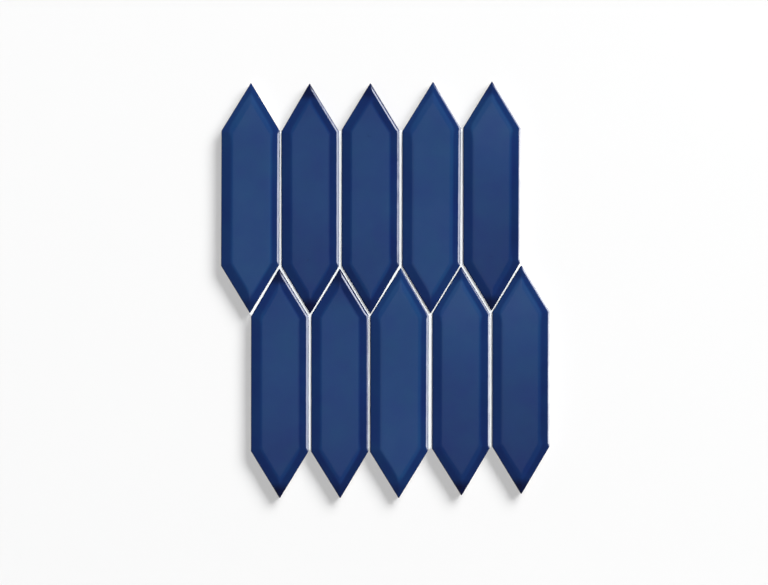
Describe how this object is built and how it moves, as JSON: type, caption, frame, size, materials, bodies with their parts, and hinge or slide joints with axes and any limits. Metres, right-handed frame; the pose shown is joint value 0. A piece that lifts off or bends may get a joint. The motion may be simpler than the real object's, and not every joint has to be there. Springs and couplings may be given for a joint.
{
  "type": "mosaic tile sheet",
  "caption": "Mesh-backed mosaic sheet of glossy blue bevelled picket tiles in two interlocking rows, for cladding walls.",
  "frame": {"origin": "middle of the sheet's bounding box, on the plane that the sheet lies on (the underside of the backing net)", "axes": "+X across the tiles, +Y along the tiles towards the tips of the upper row, +Z out of the glazed faces"},
  "size_m": [0.2884, 0.3654, 0.0089],
  "materials": {
    "blue_glaze": "glossy, bevelled, the glaze slightly mottled and darker on the bevels, over a white body",
    "net_yarn": "white coated glass-fibre yarn"
  },
  "bodies": {
    "root": {"picket_upper_1": "blue_glaze", "picket_upper_2": "blue_glaze", "picket_upper_3": "blue_glaze", "picket_upper_4": "blue_glaze", "picket_upper_5": "blue_glaze", "picket_lower_1": "blue_glaze", "picket_lower_2": "blue_glaze", "picket_lower_3": "blue_glaze", "picket_lower_4": "blue_glaze", "picket_lower_5": "blue_glaze", "backing_net_left": "net_yarn", "backing_net_middle": "net_yarn", "backing_net_right": "net_yarn"}
  },
  "joints": []
}
